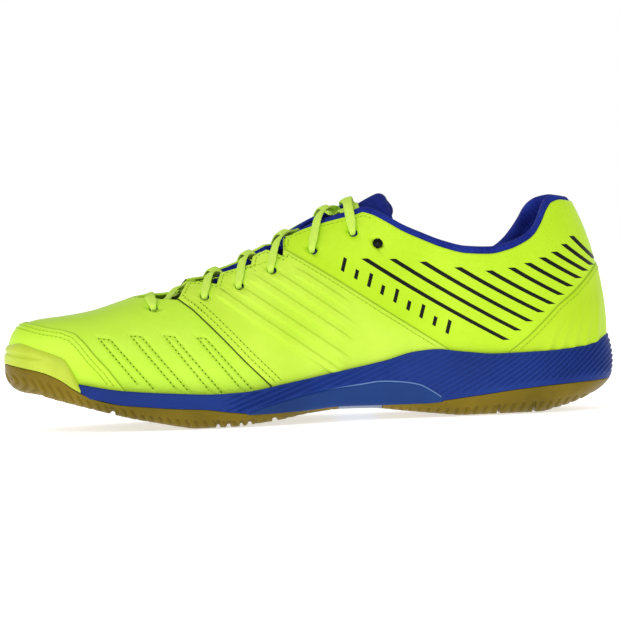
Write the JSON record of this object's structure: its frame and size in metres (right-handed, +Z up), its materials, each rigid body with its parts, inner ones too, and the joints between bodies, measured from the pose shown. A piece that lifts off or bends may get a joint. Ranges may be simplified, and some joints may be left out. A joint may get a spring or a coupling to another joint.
{
  "type": "court shoe",
  "caption": "Low-cut indoor court shoe for racket sports: yellow-green lace-up upper, padded blue collar, blue midsole, gum rubber outsoles and a wrapped rubber toe.",
  "frame": {"origin": "centre of the footprint's box, on the ground the shoe stands on", "axes": "+X from the toe to the heel, +Y to the lateral side of this right shoe, +Z up"},
  "size_m": [0.2918, 0.1016, 0.1083],
  "materials": {
    "gum": "satin moulded gum rubber",
    "shank": "polished plastic plate",
    "bumper": "smooth rubber",
    "midsole": "moulded foam skin",
    "cushion": "soft foam",
    "board": "non-woven board",
    "sockliner": "knit over foam",
    "toe_cap": "smooth coated synthetic",
    "vamp": "stitched and quilted coated synthetic",
    "panel": "coated synthetic with raised ridges",
    "quarter": "coated synthetic with printed stripes",
    "heel_panel": "coated synthetic with soft flutes",
    "lining": "padded mesh",
    "foam": "open-cell foam",
    "stiffener": "moulded stiffener sheet",
    "tongue": "padded mesh",
    "lace": "flat woven lace",
    "lace_tip": "clear-coated tip"
  },
  "bodies": {
    "shoe": {"outsole_forefoot": "gum", "outsole_heel": "gum", "arch_shank": "shank", "toe_bumper": "bumper", "midsole": "midsole", "heel_cushion_pad": "cushion", "strobel_board": "board", "toe_cap": "toe_cap", "vamp": "vamp", "medial_midfoot_panel": "panel", "lateral_midfoot_panel": "panel", "medial_quarter": "quarter", "lateral_quarter": "quarter", "heel_panel": "heel_panel", "vamp_lining": "lining", "collar_lining": "lining", "collar_foam": "foam", "heel_counter": "stiffener", "toe_puff": "stiffener", "lace": "lace", "lace_tip_medial": "lace_tip", "lace_tip_lateral": "lace_tip"},
    "tongue": {"tongue_cover": "tongue", "tongue_foam": "foam", "tongue_lining": "lining"},
    "insole": {"sockliner": "sockliner"}
  },
  "joints": [
    {"name": "tongue_hinge", "type": "hinge", "parent": "shoe", "child": "tongue", "pos_m": [-0.0785, -0.005, 0.0555], "axis": [0, 1, 0], "range_deg": [0, 10]},
    {"name": "insole_lift", "type": "hinge", "parent": "shoe", "child": "insole", "pos_m": [-0.135, 0, 0.0322], "axis": [0, -1, 0], "range_deg": [0, 4]}
  ]
}
